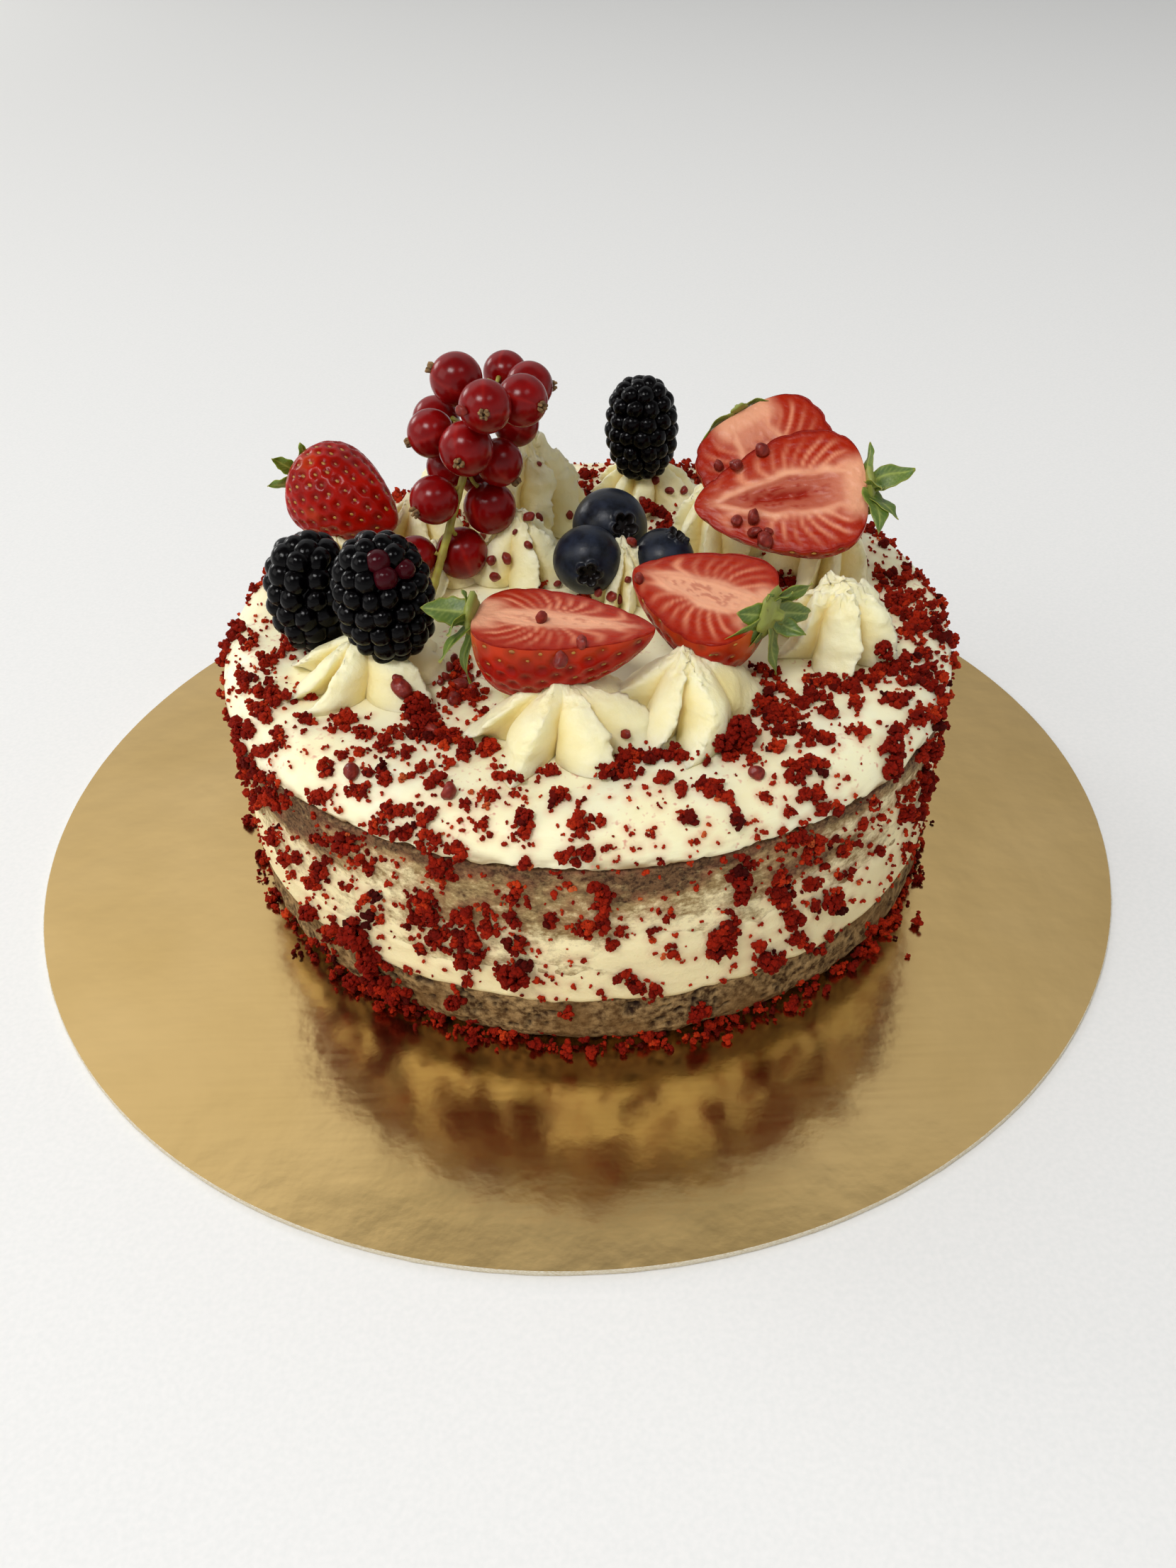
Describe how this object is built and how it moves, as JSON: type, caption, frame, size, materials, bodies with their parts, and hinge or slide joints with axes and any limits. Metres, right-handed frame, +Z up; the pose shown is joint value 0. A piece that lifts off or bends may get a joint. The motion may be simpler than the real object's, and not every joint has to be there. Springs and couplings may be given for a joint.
{
  "type": "layer cake on cake board",
  "caption": "Round red velvet layer cake with cream filling, thin cream coat and crumbs, topped with piped cream kisses and fresh berries, on a thin round gold cake board.",
  "frame": {"origin": "centre of the round board on its underside, where it rests on the table", "axes": "+Z up; -Y towards the viewer of the picture; +X to the viewer's right"},
  "size_m": [0.26, 0.26, 0.1108],
  "materials": {
    "gold_board": "thin card laminated with matt-gloss gold foil, white cut edge",
    "red_sponge": "open dark red-brown sponge crumb with bright red crumbs at the foot",
    "thin_coated_sponge": "sponge showing brown through a thin scraped coat of cream",
    "spread_cream": "cream cheese frosting spread with a spatula, satin",
    "piped_cream": "piped cream cheese frosting, soft satin with sharp ridges",
    "strawberry_skin": "glossy pitted strawberry skin with seeds",
    "cut_strawberry": "moist cut strawberry flesh with a pale core and glossy skin",
    "calyx_leaf": "thin matt green leaves",
    "bramble_drupelets": "glossy near-black drupelets, a few dark red",
    "blueberry_skin": "dark blue skin with a dull waxy bloom",
    "currant_skin": "glossy, slightly translucent red skin",
    "currant_stalk": "matt yellow-green stalk"
  },
  "bodies": {
    "root": {"cake_board": "gold_board", "sponge_base": "red_sponge", "cream_filling": "spread_cream", "sponge_upper": "thin_coated_sponge", "bramble_front": "bramble_drupelets", "bramble_left": "bramble_drupelets", "bramble_back": "bramble_drupelets", "blueberry_front": "blueberry_skin", "blueberry_back": "blueberry_skin", "blueberry_right": "blueberry_skin", "strawberry_whole": "strawberry_skin", "strawberry_half_front": "cut_strawberry", "strawberry_half_right": "cut_strawberry", "strawberry_half_top": "cut_strawberry", "strawberry_half_back": "cut_strawberry", "currant_01": "currant_skin", "currant_02": "currant_skin", "currant_03": "currant_skin", "currant_04": "currant_skin", "currant_05": "currant_skin", "currant_06": "currant_skin", "currant_07": "currant_skin", "currant_08": "currant_skin", "currant_09": "currant_skin", "currant_10": "currant_skin", "currant_11": "currant_skin", "currant_12": "currant_skin", "currant_13": "currant_skin", "currant_14": "currant_skin", "currant_15": "currant_skin", "currant_16": "currant_skin", "swirl_front_left": "piped_cream", "swirl_front": "piped_cream", "swirl_front_right": "piped_cream", "swirl_right": "piped_cream", "swirl_back_right": "piped_cream", "swirl_under_halves": "piped_cream", "swirl_back": "piped_cream", "swirl_tall": "piped_cream", "swirl_back_left": "piped_cream", "swirl_left": "piped_cream", "swirl_far_left": "piped_cream", "swirl_middle": "piped_cream", "swirl_stem": "piped_cream", "swirl_inner": "piped_cream", "currant_stem": "currant_stalk", "calyx_whole": "calyx_leaf", "calyx_half_front": "calyx_leaf", "calyx_half_right": "calyx_leaf", "calyx_half_top": "calyx_leaf", "calyx_half_back": "calyx_leaf", "cream_top": "spread_cream"}
  },
  "joints": []
}
